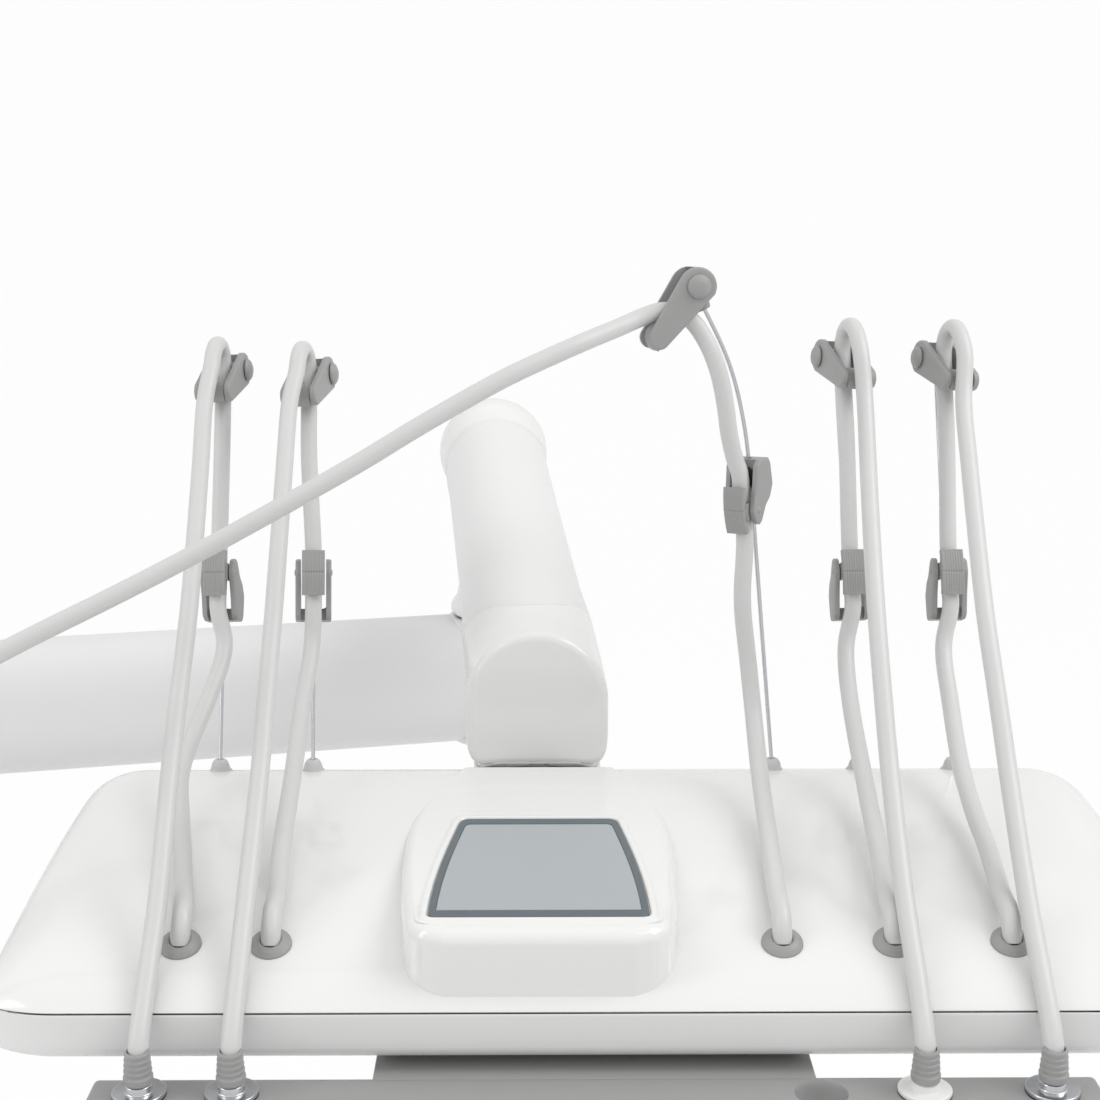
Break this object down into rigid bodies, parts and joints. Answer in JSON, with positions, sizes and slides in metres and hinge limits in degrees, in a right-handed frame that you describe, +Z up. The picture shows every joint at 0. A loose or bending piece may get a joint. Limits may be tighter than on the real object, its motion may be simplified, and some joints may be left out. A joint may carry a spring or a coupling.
{
  "type": "whip-arm dental delivery head with ultrasonic scaler",
  "caption": "White dental delivery head on a jointed balance arm: console with keypad, leaning whip rods that carry hoses to handpieces, and an ultrasonic scaler drawn out to the left.",
  "frame": {"origin": "centre of the flat underside of the post socket, on the post's vertical axis", "axes": "+X to the right of the person facing the console's keypad, +Y away from them, +Z up"},
  "size_m": [1.053, 0.7287, 0.5684],
  "materials": {
    "gloss_white": "smooth glossy white moulding",
    "arm_white": "satin white enamel",
    "cover_white": "semi-gloss white",
    "clip_grey": "fine-grained mid grey",
    "hose_white": "smooth satin silicone",
    "steel": "polished stainless steel",
    "slate": "dark slate satin",
    "keypad_grey": "pale blue-grey satin membrane",
    "dark_plastic": "dark satin bearing plastic",
    "board": "green laminate",
    "handle_white": "satin white, autoclavable",
    "light_ring": "clear light guide"
  },
  "bodies": {
    "post": {"post_socket": "gloss_white", "post_thrust_washer": "dark_plastic"},
    "swing_arm": {"horizontal_arm": "arm_white", "elbow_thrust_washer": "dark_plastic"},
    "elbow": {"elbow_housing": "gloss_white", "rear_pivot_pin": "steel"},
    "spring_arm": {"spring_arm_cover": "cover_white", "spring_arm_spar": "steel", "gas_spring": "dark_plastic"},
    "level_link": {"levelling_link": "steel"},
    "knuckle": {"front_knuckle": "gloss_white", "front_pivot_pin": "steel", "swivel_spindle": "steel"},
    "console": {"console_top_shell": "gloss_white", "console_base_tray": "cover_white", "swivel_bushing": "dark_plastic", "control_pod": "gloss_white", "keypad_bezel": "slate", "keypad_panel": "keypad_grey", "instrument_rail": "clip_grey", "control_circuit_board": "board"},
    "whip_1": {"whip_rod_1": "steel", "hose_1": "hose_white"},
    "guide_1": {"guide_stirrup_1": "clip_grey", "guide_strap_1": "clip_grey"},
    "head_1": {"head_stirrup_1": "clip_grey", "head_strap_1": "clip_grey"},
    "whip_2": {"whip_rod_2": "steel", "hose_2": "hose_white"},
    "guide_2": {"guide_stirrup_2": "clip_grey", "guide_strap_2": "clip_grey"},
    "head_2": {"head_stirrup_2": "clip_grey", "head_strap_2": "clip_grey"},
    "whip_3": {"whip_rod_3": "steel", "hose_3": "hose_white", "scaler_hose_coupling": "clip_grey"},
    "guide_3": {"guide_stirrup_3": "clip_grey", "guide_strap_3": "clip_grey"},
    "head_3": {"head_stirrup_3": "clip_grey", "head_strap_3": "clip_grey"},
    "whip_4": {"whip_rod_4": "steel", "hose_4": "hose_white"},
    "guide_4": {"guide_stirrup_4": "clip_grey", "guide_strap_4": "clip_grey"},
    "head_4": {"head_stirrup_4": "clip_grey", "head_strap_4": "clip_grey"},
    "whip_5": {"whip_rod_5": "steel", "hose_5": "hose_white"},
    "guide_5": {"guide_stirrup_5": "clip_grey", "guide_strap_5": "clip_grey"},
    "head_5": {"head_stirrup_5": "clip_grey", "head_strap_5": "clip_grey"},
    "air_water_syringe_body": {"air_water_syringe": "steel"},
    "turbine_handpiece_body": {"turbine_handpiece": "steel"},
    "curing_light_body": {"curing_light": "handle_white"},
    "micromotor_handpiece_body": {"micromotor_handpiece": "steel"},
    "scaler": {"scaler_handle": "handle_white", "scaler_light_ring": "light_ring", "scaler_nose_cone": "clip_grey", "scaler_tip": "steel"}
  },
  "joints": [
    {"name": "post_swing", "type": "hinge", "parent": "post", "child": "swing_arm", "pos_m": [0, 0, 0.074], "axis": [0, 0, 1], "range_deg": [-100, 100]},
    {"name": "elbow_swing", "type": "hinge", "parent": "swing_arm", "child": "elbow", "pos_m": [0.5814, 0.129, 0.187], "axis": [0, 0, 1], "range_deg": [-15, 60]},
    {"name": "height", "type": "hinge", "parent": "elbow", "child": "spring_arm", "pos_m": [0.5814, 0.129, 0.331], "axis": [0.9937, 0.1122, 0], "range_deg": [-15, 15]},
    {"name": "level_link_swing", "type": "hinge", "parent": "elbow", "child": "level_link", "pos_m": [0.56379, 0.1245, 0.3386], "axis": [0.9937, 0.1122, 0], "range_deg": [-15, 15]},
    {"name": "console_level", "type": "hinge", "parent": "spring_arm", "child": "knuckle", "pos_m": [0.619, -0.204, 0.221], "axis": [0.9937, 0.1122, 0], "range_deg": [-15, 15]},
    {"name": "console_turn", "type": "hinge", "parent": "knuckle", "child": "console", "pos_m": [0.619, -0.204, 0.17], "axis": [0, 0, 1], "range_deg": [-12, 12]},
    {"name": "whip_1_lean", "type": "hinge", "parent": "console", "child": "whip_1", "pos_m": [0.408, -0.264, 0.18535], "axis": [1, 0, 0], "range_deg": [-6, 30], "deforming": ["hose_1"]},
    {"name": "guide_1_slide", "type": "slide", "parent": "whip_1", "child": "guide_1", "axis": [-0.0074, 0.3801, 0.9249], "range_m": [-0.0101, 0.0485]},
    {"name": "head_1_nod", "type": "hinge", "parent": "whip_1", "child": "head_1", "pos_m": [0.406, -0.161, 0.436], "axis": [0.9942, -0.0967, 0.0477], "range_deg": [-3.2, 14]},
    {"name": "whip_2_lean", "type": "hinge", "parent": "console", "child": "whip_2", "pos_m": [0.4697, -0.264, 0.18535], "axis": [1, 0, 0], "range_deg": [-6, 30], "deforming": ["hose_2"]},
    {"name": "guide_2_slide", "type": "slide", "parent": "whip_2", "child": "guide_2", "axis": [-0.0175, 0.384, 0.9232], "range_m": [-0.0101, 0.0485]},
    {"name": "head_2_nod", "type": "hinge", "parent": "whip_2", "child": "head_2", "pos_m": [0.465, -0.161, 0.433], "axis": [0.9864, -0.1444, 0.0788], "range_deg": [-3.2, 14]},
    {"name": "whip_3_lean", "type": "hinge", "parent": "console", "child": "whip_3", "pos_m": [0.7756, -0.264, 0.18535], "axis": [1, 0, 0], "range_deg": [-22, 2], "deforming": ["hose_3"]},
    {"name": "guide_3_slide", "type": "slide", "parent": "whip_3", "child": "guide_3", "axis": [-0.0987, -0.0103, 0.9951], "range_m": [-0.0485, 0.00486]},
    {"name": "head_3_nod", "type": "hinge", "parent": "whip_3", "child": "head_3", "pos_m": [0.717, -0.272, 0.502], "axis": [0.2108, -0.9766, 0.0422], "range_deg": [-1.4, 10.4]},
    {"name": "whip_4_lean", "type": "hinge", "parent": "console", "child": "whip_4", "pos_m": [0.833, -0.264, 0.18535], "axis": [1, 0, 0], "range_deg": [-6, 30], "deforming": ["hose_4"]},
    {"name": "guide_4_slide", "type": "slide", "parent": "whip_4", "child": "guide_4", "axis": [-0.0268, 0.3686, 0.9292], "range_m": [-0.0101, 0.0485]},
    {"name": "head_4_nod", "type": "hinge", "parent": "whip_4", "child": "head_4", "pos_m": [0.8255, -0.161, 0.445], "axis": [0.9725, 0.2249, -0.0611], "range_deg": [-3.2, 14]},
    {"name": "whip_5_lean", "type": "hinge", "parent": "console", "child": "whip_5", "pos_m": [0.8965, -0.264, 0.18535], "axis": [1, 0, 0], "range_deg": [-6, 30], "deforming": ["hose_5"]},
    {"name": "guide_5_slide", "type": "slide", "parent": "whip_5", "child": "guide_5", "axis": [-0.0054, 0.37, 0.929], "range_m": [-0.0101, 0.0485]},
    {"name": "head_5_nod", "type": "hinge", "parent": "whip_5", "child": "head_5", "pos_m": [0.895, -0.161, 0.444], "axis": [0.9708, 0.2248, -0.0839], "range_deg": [-3.2, 14]},
    {"name": "air_water_syringe_lift", "type": "slide", "parent": "console", "child": "air_water_syringe_body", "axis": [0, 0, 1], "range_m": [0, 0.06]},
    {"name": "turbine_handpiece_lift", "type": "slide", "parent": "console", "child": "turbine_handpiece_body", "axis": [0, 0, 1], "range_m": [0, 0.06]},
    {"name": "curing_light_lift", "type": "slide", "parent": "console", "child": "curing_light_body", "axis": [0, 0, 1], "range_m": [0, 0.06]},
    {"name": "micromotor_handpiece_lift", "type": "slide", "parent": "console", "child": "micromotor_handpiece_body", "axis": [0, 0, 1], "range_m": [0, 0.06]},
    {"name": "scaler_swivel", "type": "hinge", "parent": "whip_3", "child": "scaler", "pos_m": [0.23504, -0.47348, 0.26552], "axis": [-0.8001, -0.4, -0.447], "continuous": true}
  ],
  "couplings": [
    {"joint": "level_link_swing", "follows": "height", "ratio": 1},
    {"joint": "console_level", "follows": "height", "ratio": -1},
    {"joint": "guide_1_slide", "follows": "whip_1_lean", "m_per_rad": 0.09167},
    {"joint": "head_1_nod", "follows": "whip_1_lean", "ratio": 0.45},
    {"joint": "guide_2_slide", "follows": "whip_2_lean", "m_per_rad": 0.09167},
    {"joint": "head_2_nod", "follows": "whip_2_lean", "ratio": 0.45},
    {"joint": "guide_3_slide", "follows": "whip_3_lean", "m_per_rad": 0.12501},
    {"joint": "head_3_nod", "follows": "whip_3_lean", "ratio": -0.45},
    {"joint": "guide_4_slide", "follows": "whip_4_lean", "m_per_rad": 0.09167},
    {"joint": "head_4_nod", "follows": "whip_4_lean", "ratio": 0.45},
    {"joint": "guide_5_slide", "follows": "whip_5_lean", "m_per_rad": 0.09167},
    {"joint": "head_5_nod", "follows": "whip_5_lean", "ratio": 0.45}
  ]
}
